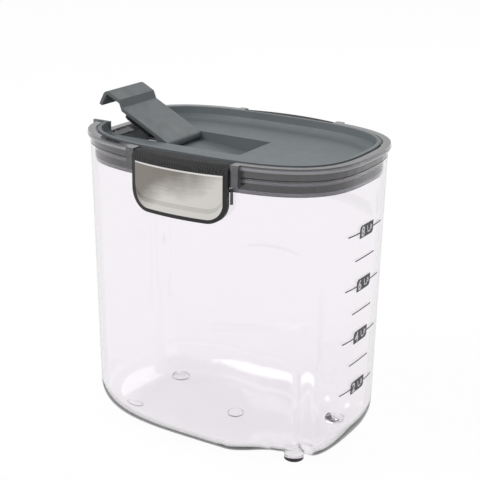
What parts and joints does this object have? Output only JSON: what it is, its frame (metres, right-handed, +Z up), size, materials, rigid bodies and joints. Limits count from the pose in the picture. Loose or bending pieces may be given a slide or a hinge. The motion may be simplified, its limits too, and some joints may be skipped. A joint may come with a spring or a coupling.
{
  "type": "cereal container",
  "caption": "Tall clear oval storage container with a clip-on lid, a hinged pouring flap over a recessed tray, and side latches.",
  "frame": {"origin": "centre of the middle foot's underside, on the table", "axes": "+Z up, -X towards the pouring spout, -Y towards the front latch"},
  "size_m": [0.1737, 0.1304, 0.1953],
  "materials": {
    "clear_plastic": "clear polished",
    "smoky_plastic": "smoky translucent, polished",
    "slate_plastic": "satin",
    "gasket_silicone": "soft satin",
    "black_silicone": "soft satin",
    "charcoal_plastic": "satin",
    "grip_rubber": "finely knurled",
    "steel": "satin"
  },
  "bodies": {
    "container": {"vessel": "clear_plastic"},
    "lid": {"lid_frame": "smoky_plastic", "lid_tray": "slate_plastic", "skirt_gasket": "gasket_silicone"},
    "flap": {"spout_flap": "slate_plastic", "spout_seal": "black_silicone"},
    "latch_front": {"latch_front_body": "charcoal_plastic", "latch_front_grip": "grip_rubber", "latch_front_plate": "steel"},
    "latch_back": {"latch_back_body": "charcoal_plastic", "latch_back_grip": "grip_rubber", "latch_back_plate": "steel"}
  },
  "joints": [
    {"name": "lid_lift", "type": "slide", "parent": "container", "child": "lid", "axis": [0, 0, 1], "range_m": [0, 0.12]},
    {"name": "spout_flap", "type": "hinge", "parent": "lid", "child": "flap", "pos_m": [-0.0383, 0, 0.1686], "axis": [0, 1, 0], "range_deg": [-27, 153]},
    {"name": "latch_front", "type": "hinge", "parent": "lid", "child": "latch_front", "pos_m": [0.002, -0.0556, 0.175], "axis": [-1, 0, 0], "range_deg": [0, 90]},
    {"name": "latch_back", "type": "hinge", "parent": "lid", "child": "latch_back", "pos_m": [0.002, 0.0556, 0.175], "axis": [1, 0, 0], "range_deg": [0, 90]}
  ]
}
